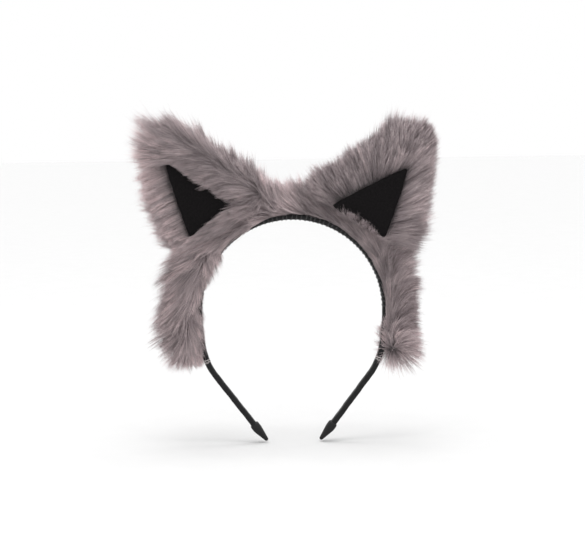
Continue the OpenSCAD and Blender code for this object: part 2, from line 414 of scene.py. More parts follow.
def rubber_material(name, low, high, grain):
    """Moulded matte plastic or rubber with a fine grain and a few soft scuffs."""
    mat, tree, shader = material(name, rough=0.55, specular=0.3)
    where = place(tree)
    scuffs = noise(tree, where, 420, 5, 0.7)
    ramped(tree, shader, "Base Color", scuffs, [(0.35, low), (0.8, high)])
    ramped(tree, shader, "Roughness", scuffs, [(0.3, 0.50), (0.75, 0.68)])
    bumped(tree, shader, [(noise(tree, where, grain, 2), 0.00008), (scuffs, 0.00006)], 0.45)
    return mat


def cloth_material():
    """Knitted backing cloth: small loops in rows."""
    mat, tree, shader = material("backing_cloth", rough=0.9, specular=0.2, sheen=0.2)
    where = place(tree)
    knit = wave(tree, where, 330, 3.0)
    rows = wave(tree, where, 330, 3.0, "Z")
    ramped(tree, shader, "Base Color", noise(tree, where, 500, 4), [
        (0.3, (0.060, 0.052, 0.053)), (0.7, (0.11, 0.095, 0.096))])
    bumped(tree, shader, [(knit, 0.00015), (rows, 0.00015)], 0.5)
    return mat


def felt_material():
    """Pressed black felt: tangled fibres, a few paler ones lying on top."""
    mat, tree, shader = material("felt", rough=0.98, specular=0.05)
    where = place(tree)
    long_way = place(tree, scale=(1, 1, 0.18), turn=(0, 0.7, 0))
    other_way = place(tree, scale=(0.2, 1, 1), turn=(0, 0.4, 0))
    tangle = noise(tree, where, 900, 6, 0.7)
    fibres = noise(tree, long_way, 2600, 3, 0.6)
    crossing = noise(tree, other_way, 2600, 3, 0.6)
    base = ramp(tree, tangle, [(0.3, (0.005, 0.0045, 0.0048)), (0.75, (0.012, 0.0108, 0.0112))])
    pale = ramp(tree, fibres, [(0.66, 0.0), (0.78, 1.0)])
    colour = mixed(tree, "MIX", pale, base, (0.022, 0.020, 0.0205))
    tree.links.new(colour, shader.inputs["Base Color"])
    bumped(tree, shader, [(tangle, 0.0003), (fibres, 0.00015), (crossing, 0.00015)], 0.55)
    return mat


def thread_material(name, low, high):
    """Sewing thread: two plies twisted together, seen along the thread's own length."""
    mat, tree, shader = material(name, rough=0.75, specular=0.3, sheen=0.2)
    twist = place(tree, uv="Along", scale=(1, 0.0016, 1), turn=(0, 0, 0.6))
    plies = wave(tree, twist, 500, 0.3)
    # The colour darkens in the grooves between the plies and lightens on their crowns: painted
    # shade
    ramped(tree, shader, "Base Color", plies, [(0.1, low), (0.8, high)])
    bumped(tree, shader, [(plies, 0.00012)], 0.6)
    return mat


def wadding_material():
    """White polyester wadding."""
    mat, tree, shader = material("wadding", rough=0.95, specular=0.1, sheen=0.4)
    where = place(tree)
    fluff = noise(tree, where, 700, 6, 0.7)
    ramped(tree, shader, "Base Color", fluff, [
        (0.2, (0.55, 0.53, 0.50)), (0.7, (0.82, 0.80, 0.77))])
    bumped(tree, shader, [(fluff, 0.0008)], 0.8)
    return mat


def wire_material():
    """Soft drawn aluminium wire with fine drawing lines."""
    mat, tree, shader = material("wire", rough=0.35, metallic=1.0)
    where = place(tree)
    lines = noise(tree, where, 2500, 3)
    ramped(tree, shader, "Base Color", lines, [
        (0.3, (0.38, 0.38, 0.39)), (0.7, (0.62, 0.62, 0.63))])
    ramped(tree, shader, "Roughness", lines, [(0.3, 0.25), (0.7, 0.5)])
    bumped(tree, shader, [(lines, 0.00004)], 0.4)
    return mat


def fur_material(name, roots, middles, tips):
    """Faux fur fibre: its UV holds the fibre's shade across, with painted light and shade by place
    in it, and root to tip upward.
    """
    mat, tree, shader = material(name, rough=0.62, specular=0.25, sheen=0.15,
                                 sheen_rough=0.4)
    uv = node(tree, "ShaderNodeUVMap", uv_map="OFBake")
    parts = node(tree, "ShaderNodeSeparateXYZ")
    tree.links.new(uv.outputs["UV"], parts.inputs["Vector"])
    # Darker at the root and paler at the tip: painted shade deep in the pile and painted light
    # through the thin tips
    along = ramp(tree, parts.outputs["Y"], [(0.0, roots), (0.35, middles), (1.0, tips)])
    shade = ramp(tree, parts.outputs["X"], [
        (0.0, (0.42, 0.40, 0.41)), (0.5, (0.95, 0.94, 0.95)), (1.0, (1.6, 1.54, 1.53))])
    tree.links.new(mixed(tree, "MULTIPLY", 1.0, along, shade), shader.inputs["Base Color"])
    return mat


# ------------------------------------------------------------ fur

# Straight stretches of a fibre
SEGMENTS = 4


def scatter(rng, verts, quads, count, weight=None):
    """Random points on the quads of a skin, with their normals."""
    corners = verts[quads]
    triangles = np.concatenate([corners[:, [0, 1, 2]], corners[:, [0, 2, 3]]])
    cross = np.cross(triangles[:, 1] - triangles[:, 0], triangles[:, 2] - triangles[:, 0])
    area = np.linalg.norm(cross, axis=1)
    if weight is not None:
        area = area * weight(triangles.mean(1))
    vertex_normals = np.zeros_like(verts)
    index = np.concatenate([quads[:, [0, 1, 2]], quads[:, [0, 2, 3]]])
    for k in range(3):
        np.add.at(vertex_normals, index[:, k], cross)
    vertex_normals = unit(vertex_normals)
    pick = rng.choice(len(triangles), count, p=area / area.sum())
    a, b = rng.random((2, count))
    flip = a + b > 1
    a, b = np.where(flip, 1 - a, a), np.where(flip, 1 - b, b)
    share = np.stack([1 - a - b, a, b], -1)[..., None]
    return (
        (triangles[pick] * share).sum(1),
        unit((vertex_normals[index[pick]] * share).sum(1)),
    )


def nearest(points, centres, flow=None):
    """For each point, the number of its nearest centre.

    With flow, a unit vector for each point, distances along it count for less.
    """
    found = np.empty(len(points), int)
    sizes = (centres ** 2).sum(1)
    for low in range(0, len(points), 4000):
        part = points[low:low + 4000]
        squares = (part ** 2).sum(1)[:, None] + sizes - 2 * part @ centres.T
        if flow is not None:
            along = flow[low:low + 4000]
            squares -= 0.975 * ((part * along).sum(1)[:, None] - along @ centres.T) ** 2
        found[low:low + 4000] = squares.argmin(1)
    return found


def combed(points, guides, soft=3.5):
    """Directions at the root and the tip, in degrees, and a length factor, from guides.

    A guide is x and z in millimetres, root and tip direction in degrees, and length.
    """
    guides = np.array(guides, float)
    flat = points[:, [0, 2]] / MM
    squares = ((flat[:, None] - guides[None, :, :2]) ** 2).sum(-1)
    weight = 1 / (squares + soft ** 2) ** 2
    weight /= weight.sum(1, keepdims=True)
    found = []
    for column in (2, 3):
        angle = np.radians(guides[:, column])
        found.append(np.degrees(np.arctan2(weight @ np.sin(angle), weight @ np.cos(angle))))
    return found[0], found[1], weight @ guides[:, 4]


def painted_light_at(points):
    """How much painted light or painted shade lightens or darkens the fur at points, from the
    middle shade.
    """
    tones = np.array(PAINTED_LIGHT_PLACES)
    flat = points[:, [0, 2]] / MM
    squares = ((flat[:, None] - tones[None, :, :2]) ** 2).sum(-1)
    weight = 1 / (squares + 36) ** 2
    return weight @ tones[:, 2] / weight.sum(1)


def fibre_lines(root, normal, start, end, length, lift):
    """Points along each fibre, (fibres, SEGMENTS + 1, 3).

    start and end are directions in the XZ plane, in degrees; lift is the angle off
    the skin at the root and at the tip.
    """
    directions = []
    for angle, rise in ((start, lift[0]), (end, lift[1])):
        a, r = np.radians(angle), np.radians(rise)[..., None]
        flat = np.stack([np.cos(a), np.zeros_like(a), np.sin(a)], -1)
        into = np.minimum((flat * normal).sum(-1, keepdims=True), 0)
        flat = unit(flat - into * normal)
        directions.append(unit(flat * np.cos(r) + normal * np.sin(r)))
    points = [root]
    for k in range(SEGMENTS):
        t = (k + 0.5) / SEGMENTS
        step = unit((1 - t) * directions[0] + t * directions[1])
        points.append(points[-1] + step * (length / SEGMENTS)[:, None])
    return np.stack(points, 1)


def grow(rng, root, normal, groom, style, lean=0.0):
    """Fibre lines in locks: groom gives (start, end, length factor) for root points.

    lean is how many degrees less each fibre lifts off the skin.
    """
    count = len(root)
    start, end, factor = groom(root)
    lean = lean + np.zeros(count)
    lock_seat = rng.choice(count, max(3, count // style["per_lock"]), replace=False)
    wisp_seat = rng.choice(count, max(3, count // style["per_wisp"]), replace=False)
    lock = nearest(root, root[lock_seat])
    wisp = nearest(root, root[wisp_seat])
    middle = np.radians(0.5 * (start + end))
    flow = np.stack([np.cos(middle), np.zeros(count), np.sin(middle)], -1)
    streak_seat = rng.choice(count, max(3, count // style["per_streak"]), replace=False)
    streak = nearest(root, root[streak_seat], flow)
    streaks = len(streak_seat)
    locks, wisps = len(lock_seat), len(wisp_seat)
    lock_yaw = rng.normal(0, style["lock_yaw"], locks)
    wisp_yaw = rng.normal(0, style["wisp_yaw"], wisps)
    lock_long = rng.normal(1, style["lock_long"], locks).clip(0.65, 1.35)
    lock_lift = rng.normal(0, style["lock_lift"], locks)
    wisp_lift = rng.normal(0, style["lock_lift"] * 0.4, wisps)
    streak_lift = rng.normal(0, style["streak_lift"], streaks)

    def line(index, lock_of, wisp_of, loose):
        turn = lock_yaw[lock_of] + wisp_yaw[wisp_of]
        own = rng.normal(0, loose * style["stray"], len(index))
        long = style["length"] * factor[index] * lock_long[lock_of]
        long = long * (1 + loose * rng.normal(0, 0.18, len(index))).clip(0.45, 1.35)
        rise = lock_lift[lock_of] + wisp_lift[wisp_of] + loose * rng.normal(0, 4, len(index))
        rise = rise + streak_lift[streak[index]] - lean[index]
        lift = (style["lift"][0] + rise, style["lift"][1] + rise * 0.6)
        return fibre_lines(root[index], normal[index], start[index] + turn + own,
                           end[index] + turn + own, long, lift)

    every = np.arange(count)
    fibres = line(every, lock, wisp, 1.0)
    wisp_lines = line(wisp_seat, lock[wisp_seat], np.arange(wisps), 0.0)
    lock_lines = line(lock_seat, np.arange(locks), wisp[lock_seat], 0.0)
    t = np.linspace(0, 1, SEGMENTS + 1)[None, :, None]
    free = rng.random(count)[:, None, None] < style["free"]
    pull = np.where(free, 0.15, 1.0)
    fibres = fibres + pull * style["wisp_pull"] * t ** 1.2 * (wisp_lines[wisp] - fibres)
    fibres = fibres + pull * style["lock_pull"] * t ** 1.7 * (lock_lines[lock] - fibres)
    aside = root[streak_seat][streak] - root
    for away in (flow, normal):
        aside = aside - (aside * away).sum(-1, keepdims=True) * away
    fibres = fibres + style["streak_pull"] * pull * t ** 1.2 * aside[:, None]
    bend = rng.normal(0, 1, (count, 1, 3)) * style["frizz"]
    wiggle = rng.normal(0, 1, (count, 1, 3)) * style["frizz"] * 0.5
    fibres = fibres + bend * t ** 1.5 + wiggle * np.sin(math.pi * 1.7 * t)
    shade = 0.5 + rng.normal(0, 0.07, count) + rng.normal(0, 0.07, wisps)[wisp]
    shade = shade + rng.normal(0, style["contrast"], streaks)[streak]
    shade = shade + rng.normal(0, 0.04, locks)[lock]
    # Painted light and painted shade by place, added to the fibres' own random shade
    shade = shade + painted_light_at(root)
    reach = rng.exponential(1.0, wisps)[wisp] + rng.exponential(0.7, locks)[lock]
    return fibres, shade.clip(0.04, 0.96), reach * MM


def resampled(lines, count):
    """Each line again, as count points at even steps, on its own straight stretches."""
    rings = lines.shape[1]
    t = np.linspace(0, rings - 1, count)
    low = np.minimum(t.astype(int), rings - 2)
    share = (t - low)[:, None]
    return lines[:, low] * (1 - share) + lines[:, low + 1] * share


def cut_short(lines, blocked):
    """Lines ended at their first blocked point, and which of them are long enough.

    blocked has a row for each line, at even steps along it.
    """
    count, rings = lines.shape[:2]
    fine = blocked.shape[1]
    first = np.where(blocked.any(1), blocked.argmax(1), fine - 1)
    t = np.linspace(0, 1, rings) * (first / (fine - 1) * (rings - 1))[:, None]
    low = np.minimum(t.astype(int), rings - 2)
    share = (t - low)[..., None]
    row = np.arange(count)[:, None]
    cut = lines[row, low] * (1 - share) + lines[row, low + 1] * share
    return cut, first > fine * 0.2


def over_felt(points, side, outline, reach):
    """Whether points of an ear lie further over its felt than reach allows."""
    u, v = ear_place(points.reshape(-1, 3), side)
    inside = edge_distance(np.stack([u, v], -1), outline).reshape(points.shape[:2])
    below = (outline[:, 1].max() - v) / (22 * MM)
    beside = (outline[:, 0].max() - u) / (12 * MM)
    corner = np.minimum(below, beside).reshape(points.shape[:2]).clip(0.2, 1)
    return inside > reach[:, None] * corner


def over_band(points, reach):
    """Whether points lie too far inwards over the front or back of the band.

    The fur covers the band on the left, stops at its outer edge over the crown and
    on the right, and spills over it again at the foot of the right side.
    """
    x, z = points[..., 0] / MM, points[..., 2] / MM
    inner = np.sqrt(np.maximum((TEMPLE[0] / MM) ** 2 - z ** 2, 1)) - (TEMPLE[0] - ARCH) / MM
    depth = np.where(z > 0, np.hypot(x, z) - ARCH / MM, np.abs(x) - inner)
    shown = np.interp(np.degrees(np.arctan2(z, x)), [-12, -3, 45, 66, 104, 111, 118],
                      [0, 2.5, 2.6, 4.5, 4.5, 2.6, 0])
    shown = np.where((z < 0) & (x < 0), 0, shown)
    fringe = np.interp(z, [-9, -4, 6, 12, 14, 20, 48, 54], [0, 0.2, 0.2, 0, 0, 0.7, 0.6, 0])
    fringe = np.where(x < 0, fringe, 1.0)
    spill = np.clip(reach / MM - 1.3, 0, 1)[:, None]
    covered = 0.2 - 12 * fringe * spill
    limit = np.where(shown > 0, shown, covered)
    return depth < limit - 0.3 * reach[:, None] / MM


def fibre_mesh(name, lines, shade, radius):
    """Three-sided tapering fibres as one mesh, with shade and root-to-tip as UV."""
    count, rings = lines.shape[:2]
    solid = rings - 1
    tangent = unit(np.gradient(lines, axis=1))
    helper = unit(np.array([0.31, 0.83, 0.46]) + np.zeros_like(tangent))
    across = unit(np.cross(tangent, helper))
    up = np.cross(tangent, across)
    t = np.linspace(0, 1, rings)
    thick = radius[:, None] * (1 - 0.9 * t[:solid] ** 1.6)
    verts = []
    for j in range(3):
        a = 2 * math.pi * j / 3
        side = math.cos(a) * across[:, :solid] + math.sin(a) * up[:, :solid]
        verts.append(lines[:, :solid] + thick[..., None] * side)
    body = np.stack(verts, 2).reshape(count, solid * 3, 3)
    points = np.concatenate([body, lines[:, -1:]], 1)
    quads = wrapped_quads(solid, 3)
    tip, last = solid * 3, solid * 3 - 3
    triangles = np.array([
        [last, last + 1, tip], [last + 1, last + 2, tip], [last + 2, last, tip], [2, 1, 0]])
    offset = (np.arange(count) * (tip + 1))[:, None, None]
    u = np.concatenate([np.tile([-0.012, 0.0, 0.012], solid), [0.0]])
    v = np.concatenate([np.repeat(t[:solid], 3), [1.0]])
    uv = np.stack([(shade[:, None] + u).clip(0, 1), np.tile(v, (count, 1))], -1)
    return mesh_from(name, points.reshape(-1, 3), (quads + offset).reshape(-1, 4),
                     (triangles + offset).reshape(-1, 3), uv.reshape(-1, 2))


# ------------------------------------------------------------ band

def band_line(step):
    """Inner face of the right half of the band, from the crown down the leg.

    Returns points, outward directions, and distance along it.
    """
    points, outward = [], []
    centre, angle = np.zeros(2), 90.0
    for radius, turn in ((ARCH, 90.0), TEMPLE, BEND):
        if points:
            centre = points[-1][-1] - radius * outward[-1][-1]
        steps = max(2, int(radius * math.radians(turn) / step))
        a = np.radians(np.linspace(angle, angle - turn, steps + 1))
        out = np.stack([np.cos(a), np.sin(a)], -1)
        skip = 1 if points else 0
        points.append((centre + radius * out)[skip:])
        outward.append(out[skip:])
        angle -= turn
    out = outward[-1][-1]
    down = np.array([out[1], -out[0]])
    steps = int((LEG + SOCKET) / step)
    far = np.linspace(0, LEG + SOCKET, steps + 1)[1:, None]
    points.append(points[-1][-1] + far * down)
    outward.append(np.repeat(out[None], steps, axis=0))
    points, outward = np.concatenate(points), np.concatenate(outward)
    zero = np.zeros(len(points))
    points = np.stack([points[:, 0], zero, points[:, 1]], -1)
    outward = np.stack([outward[:, 0], zero, outward[:, 1]], -1)
    along = np.concatenate([[0], np.cumsum(np.linalg.norm(np.diff(points, axis=0), axis=1))])
    return points, outward, along


BAND = band_line(0.0008)


def band_at(along):
    """Inner face point and outward direction at distances down the right half."""
    points, outward, far = BAND
    point = np.stack([np.interp(along, far, points[:, k]) for k in range(3)], -1)
    out = np.stack([np.interp(along, far, outward[:, k]) for k in range(3)], -1)
    return point, unit(out)


def sleeve(side, mat, rng):
    """Half of the satin sleeve, from the crown's middle into the end cap."""
    points, outward, along = BAND
    rings, sides = len(points), 28
    outline = superellipse(np.full(rings, DEPTH / 2), np.full(rings, HALF_WIDTH), 3.6, sides)
    angle = np.linspace(0, 2 * math.pi, sides, endpoint=False)
    wrinkle = np.zeros((rings, sides))
    for length, size in ((0.0031, 0.016), (0.0052, 0.02), (0.009, 0.03), (0.017, 0.05)):
        phase, lean, twist = rng.random(3) * 2 * math.pi
        wrinkle += size * MM * np.sin(
            along[:, None] / length * 2 * math.pi + phase
            + 1.4 * np.sin(angle + lean) + 0.7 * np.sin(2 * angle + twist))
    seam = 0.09 * MM * np.exp(-((angle - math.pi * 0.5) / 0.12) ** 2)
    tight = np.clip((along[-1] - along) / 0.004, 0, 1)[:, None]
    grow_by = 1 + (wrinkle * tight + 0.06 * MM + seam) / (DEPTH / 2)
    outline = outline * grow_by[..., None]
    centres = points + outward * DEPTH / 2
    up = np.tile(FORWARD, (rings, 1))
    verts, quads, triangles, uv = capped_tube(centres, outward, up, outline, side)
    obj = mesh_from(f"satin_sleeve_{side}", verts, quads, triangles, uv, "Along")
    obj.data.set_sharp_from_angle(angle=math.radians(60))
    obj.data.materials.append(mat)
    nodes = [f"sleeve_{side}_arm"] + (["sleeve_crown"] if side == "left" else [])
    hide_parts(*nodes)
    near = mirrored(FLEX * [0.62, 1, 1.02], side)
    far = mirrored(FLEX * [1.4, 1, 0.98], side)
    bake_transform(obj)


# How square a thread's way round the band is
ROUND_BAND = 0.58


def stitch_path(angle, slant, reach):
    """One whip stitch at an angle of the arch, round the band's inner edge."""
    turn = np.linspace(-1, 1, 17)
    x, y = squared(np.radians(180 + 138 * turn), ROUND_BAND)
    half_depth, half_width = DEPTH / 2 + reach, HALF_WIDTH + reach
    radius = ARCH + DEPTH / 2 + half_depth * x
    a = math.radians(angle) + slant * turn / ARCH
    return np.stack([radius * np.cos(a), -half_width * y, radius * np.sin(a)], -1)


def whip_stitches(name, side, low, high, mat, rng, body, *nodes):
    """Slanted stitches between two angles of the arch, round the band's inner edge."""
    step = math.degrees(3.3 * MM / (ARCH + DEPTH / 2))
    threads = []
    for angle in np.arange(low, high, step):
        angle += rng.normal(0, 0.05) * step
        path = stitch_path(angle, rng.normal(1.0, 0.3) * MM, 0.22 * MM)
        threads.append((path, 0.34 * MM))
    finished(thread_object(name, threads, side), mat, "dark_thread", body, *nodes)


def end_tack(side, mat, rng):
    """Pale thread wound round the band where the fur ends, with a small loose loop."""
    along = ARCH * math.pi / 2 + TEMPLE[0] * math.radians(TEMPLE[1])
    along += BEND[0] * math.radians(9.0)
    turns = np.linspace(0, 3.1, 90)
    wander = 0.5 * np.sin(turns * 2 * math.pi * 0.5) + rng.normal(0, 0.05, len(turns))
    where = along + (turns * 0.75 + wander - 0.6) * MM
    point, out = band_at(where)
    x, y = squared(turns * 2 * math.pi, ROUND_BAND)
    lift = 0.12 * MM
    path = point + out * (DEPTH / 2 + (DEPTH / 2 + lift) * x)[:, None]
    path = path + np.outer((HALF_WIDTH + lift) * y, FORWARD)
    loop = np.linspace(0.1, 1.9, 40) * math.pi
    point, out = band_at(np.full(40, along + 1.1 * MM))
    down = np.cross(out, FORWARD)
    ring = point + out * (DEPTH * 0.55 + 1.5 * MM * np.cos(loop))[:, None]
    ring = ring + down * (1.0 * MM * np.sin(loop))[:, None]
    ring = ring + np.outer(HALF_WIDTH + 0.3 * MM + 0.5 * MM * np.sin(loop / 2), FORWARD)
    threads = [(path, 0.21 * MM), (ring, 0.17 * MM)]
    finished(thread_object(f"end_tack_{side}_thread", threads, side), mat, "pale_thread",
             f"{side}_arm", f"end_tack_{side}")


def hull_profile(circles, t):
    """Low and high side, at heights t, of the outline stretched round circles.

    A circle is across, along and radius; the sides are worked out from tangent lines.
    """
    angle = np.linspace(0, 2 * math.pi, 361)
    points = np.concatenate([
        np.stack([x + r * np.cos(angle), y + r * np.sin(angle)], -1) for x, y, r in circles])
    order = points[np.lexsort((points[:, 0], points[:, 1]))]

    def chain(sign):
        kept = []
        for p in order:
            while len(kept) > 1:
                a, b = kept[-2], kept[-1]
                turn = (b[0] - a[0]) * (p[1] - a[1]) - (b[1] - a[1]) * (p[0] - a[0])
                if sign * turn > 0:
                    break
                kept.pop()
            kept.append(p)
        kept = np.array(kept)
        return np.interp(t, kept[:, 1], kept[:, 0])

    return chain(1), chain(-1)


def end_cap(side, mat):
    """Moulded cap: rolled mouth round the leg, full shoulder, and a rounded tip."""
    low, high = (np.array(c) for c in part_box("end_cap_right"))
    half = (high[1] - low[1]) / 2
    length, thick, corner = 15.4 * MM, 6.3 * MM, 1.5 * MM
    thin_tip, wide_tip = 1.3 * MM, 2.2 * MM
    point, out = (a[0] for a in band_at(np.array([BAND[2][-1] - SOCKET])))
    down = np.cross(out, FORWARD)
    # Shares of the length at which the cap has a ring, close at the mouth and the tip
    steps = np.array([
        0.0, 0.012, 0.04, 0.09, 0.16, 0.24, 0.32, 0.42, 0.52, 0.62, 0.71, 0.79, 0.86,
        0.915, 0.955, 0.98, 0.993, 1.0])
    t = -steps * length
    flat = [(x, -corner, corner) for x in (corner - thick / 2, thick / 2 - corner)]
    flat += [(0, -0.3 * length, thick / 2), (-0.4 * MM, thin_tip - length, thin_tip)]
    inward, outward = hull_profile(flat, t)
    wide = [(x, -corner, corner) for x in (corner - half, half - corner)]
    wide += [(0, -0.3 * length, half), (0, wide_tip - length, wide_tip)]
    back, front = hull_profile(wide, t)
    half_x = np.abs(outward - inward) / 2
    half_y = np.abs(front - back) / 2
    half_x[-1], half_y[-1] = 0.12 * MM, 0.12 * MM
    middle = (inward + outward) / 2
    inner = [(DEPTH / 2 + 0.10 * MM, HALF_WIDTH + 0.10 * MM, 1.4 * MM),
             (DEPTH / 2 + 0.12 * MM, HALF_WIDTH + 0.12 * MM, 0.3 * MM)]
    sides = 40
    rows, centres = [], []
    centre_line = point + out * DEPTH / 2
    for half_depth, half_width, sink in inner:
        rows.append(superellipse(half_depth, half_width, 3.6, sides)[0])
        centres.append(centre_line + down * sink)
    rows.append(superellipse(half_x[0] * 0.93, half_y[0] * 0.95, 3.0, sides)[0])
    centres.append(centre_line + out * middle[0])
    for k in range(1, len(t)):
        power = 3.0 - 0.9 * min(1.0, steps[k] / 0.5)
        rows.append(superellipse(half_x[k], half_y[k], power, sides)[0])
        centres.append(centre_line - down * t[k] + out * middle[k])
    outline = np.array(rows)
    parting = np.zeros(sides)
    parting[[0, sides // 2]] = 0.07 * MM
    reach = np.linalg.norm(outline, axis=-1, keepdims=True)
    outline = outline * (1 + parting[None, :, None] / np.maximum(reach, 1e-6))
    across = np.tile(out, (len(rows), 1))
    up = np.tile(FORWARD, (len(rows), 1))
    verts, quads, triangles, uv = capped_tube(np.array(centres), across, up, outline, side)
    obj = mesh_from(f"moulded_cap_{side}", verts, quads, triangles, uv, "Along")
    modifier = obj.modifiers.new("smooth", "SUBSURF")
    modifier.levels = modifier.render_levels = 1
    finished(obj, mat, "cap_rubber", f"{side}_arm", f"end_cap_{side}")


# ------------------------------------------------------------ fur strip

def strip_skin(angles, drop, rise, half, sides=14):
    """Backing cloth folded on the band's outer face, as (rings, sides) points.

    angles are degrees of the arch, drop is how far below the arch's middle a ring
    lies, rise is how far it stands off the band, and half is half its width.
    """
    x, y = squared(np.linspace(0, 2 * math.pi, sides, endpoint=False), 0.9)
    a = np.radians(angles)
    out = np.stack([np.cos(a), np.zeros_like(a), np.sin(a)], -1)
    seat = out * (OUTER + 0.05 * MM) - np.outer(drop, [0, 0, 1.0])
    return (
        seat[:, None]
        + out[:, None] * (rise[:, None] * (0.5 + 0.5 * x))[..., None]
        + (half[:, None] * y)[..., None] * FORWARD
    )


def strip_object(part, rings, side, mat, body, node_name, furred_end=True):
    """Closed cloth roll from rings of points; returns the points and quads that have fur.

    Fur grows on its sides, and with furred_end on its last end too.
    """
    count, sides = rings.shape[:2]
    centres = rings.mean(1)
    verts = np.concatenate([rings.reshape(-1, 3), centres[:1], centres[-1:]])
    verts = mirrored(verts, side)
    quads, ends = (turned(faces, side) for faces in tube_faces(count, sides))
    middle = verts[quads].mean(1)
    normal = np.cross(verts[quads[:, 1]] - verts[quads[:, 0]],
                      verts[quads[:, 3]] - verts[quads[:, 0]])
    centre = np.repeat(mirrored(centres, side), sides, axis=0)[:len(quads)]
    if ((middle - centre) * normal).sum() < 0:
        quads, ends = quads[:, ::-1], ends[:, ::-1]
    obj = mesh_from(f"strip_cloth_{part}", verts, quads, ends)
    finished(obj, mat, "strip_fur", body, node_name, fill=0.5)
    if furred_end:
        quads = np.concatenate([quads, ends[sides:, [0, 1, 2, 2]]])
    return verts, quads


def arm_skin(side, mat):
    """Backing cloth of the strip on one arm: low under the ear, full at the temple."""
    angles = np.linspace(FLEX_ANGLE - 0.6, 0, 46)
    full = np.clip((53 - angles) / 21, 0, 1)
    full = full * full * (3 - 2 * full)
    rise = (1.7 + 8.3 * full) * MM
    half = (4.0 + 2.2 * full) * MM
    drop = np.zeros(len(angles))
    below = np.linspace(0.0015, 0.031, 18)
    round_end = np.sqrt(np.clip(1 - ((below - 0.018) / 0.0135).clip(0, 1) ** 2, 0.02, 1))
    angles = np.concatenate([angles, np.zeros(len(below))])
    drop = np.concatenate([drop, below])
    rise = np.concatenate([rise, 10.0 * MM * (0.25 + 0.75 * round_end)])
    half = np.concatenate([half, 6.2 * MM * round_end])
    half[0], rise[0] = half[0] * 0.8, rise[0] * 0.8
    return strip_object(side, strip_skin(angles, drop, rise, half), side, mat,
                        f"{side}_arm", f"fur_{side}_side")


def crown_skin(mat):
    """Backing cloth of the strip over the crown."""
    angles = np.linspace(180 - FLEX_ANGLE - 0.6, FLEX_ANGLE + 0.6, 24)
    flat = np.full(24, 1.0)
    flat[[0, -1]] = 0.8
    rings = strip_skin(angles, np.zeros(24), 1.9 * MM * flat, 4.0 * MM * flat)
    return strip_object("crown", rings, "right", mat, "crown", "fur_crown", furred_end=False)


# ------------------------------------------------------------ ears

EAR_OUTLINE = even_loop(smooth_loop([
    (-28, 72), (-31, 82), (-19, 113), (-9, 142), (4, 149), (15, 144), (26, 113),
    (35, 85), (33, 72), (2, 71.5)]) * MM, 72)
EAR_CENTRE = np.array([3.0, 104.0]) * MM


def ear_height(place, front):
    """How far the ear's cloth stands off its middle plane at flat places."""
    full = 6.9 * MM if front else 6.2 * MM
    share = np.clip(edge_distance(place, EAR_OUTLINE) / (13 * MM), 0, 1)
    return full * np.sqrt(1 - (1 - share) ** 2.2)


def ear_skin(side, front, mat):
    """Half of the ear's cover: a closed cloth shell, domed to the front or the back."""
    shares = np.concatenate([[0.05], np.linspace(0.12, 0.78, 8), [0.86, 0.92, 0.96, 0.985, 1.0]])
    outer = EAR_CENTRE + shares[:, None, None] * (EAR_OUTLINE - EAR_CENTRE)
    rings, sides = outer.shape[:2]
    sign = 1.0 if front else -1.0
    flat = outer.reshape(-1, 2)
    height = ear_height(flat, front)
    lining = EAR_CENTRE + 0.985 * (flat - EAR_CENTRE)
    depth = np.maximum(ear_height(lining, front) - 0.6 * MM, 0.15 * MM)
    everywhere = np.concatenate([flat, lining, [EAR_CENTRE, EAR_CENTRE]])
    full = float(ear_height(EAR_CENTRE[None], front)[0])
    n = np.concatenate([height + 0.05 * MM, depth, [full + 0.05 * MM, full - 0.6 * MM]])
    verts = ear_point(everywhere[:, 0], everywhere[:, 1], sign * n, side)
    name = "front" if front else "back"
    obj, quads = shell_object(f"ear_{name}_cloth_{side}", verts, rings, sides, sign * FORWARD)
    finished(obj, mat, f"ear_{name}_fur", f"{side}_ear", f"ear_{name}_fur_{side}", fill=0.6)
    return verts, quads


def wadding(side, mat, rng):
    """Lumpy polyester filling between the two faces of an ear's cover."""
    shares = np.array([0.1, 0.24, 0.38, 0.52, 0.65, 0.76, 0.85, 0.91, 0.95])
    flat = EAR_CENTRE + shares[:, None, None] * (EAR_OUTLINE - EAR_CENTRE)
    rings, sides = flat.shape[:2]
    flat = flat.reshape(-1, 2)
    points = []
    for front, sign in ((True, 1.0), (False, -1.0)):
        lumps = sum(
            np.sin(flat @ rng.normal(0, 1, 2) * beat / MM + rng.random() * 6.3) * size
            for beat, size in ((0.25, 0.30), (0.4, 0.25), (0.7, 0.18), (1.1, 0.12)))
        n = np.maximum(ear_height(flat, front) - (1.4 + lumps) * MM, 0.2 * MM)
        points.append(ear_point(flat[:, 0], flat[:, 1], sign * n, side))
    points.append(ear_point(*EAR_CENTRE, np.array([5.2, -4.6]) * MM, side))
    obj, _ = shell_object(f"ear_filling_{side}", np.concatenate(points), rings, sides, FORWARD)
    finished(obj, mat, "wadding", f"{side}_ear", f"ear_wadding_{side}", fill=0.9)


# The felt's corners on each ear, in millimetres, and its height off the middle plane
FELT_SEAT = 7.05 * MM
FELT = {
    "left": [
        (-12.5, 79.8), (26.0, 80.4), (27.4, 82.8), (12.2, 131.4), (8.8, 132.0), (-13.8, 82.2)],
    "right": [
        (-17.8, 73.6), (22.8, 74.8), (24.2, 77.2), (10.9, 123.2), (7.9, 123.6), (-18.6, 75.8)],
}


def felt_outline(side):
    """Triangle with small round corners and slightly bowed sides."""
    return even_loop(smooth_loop(FELT[side], 3) * MM, 96)


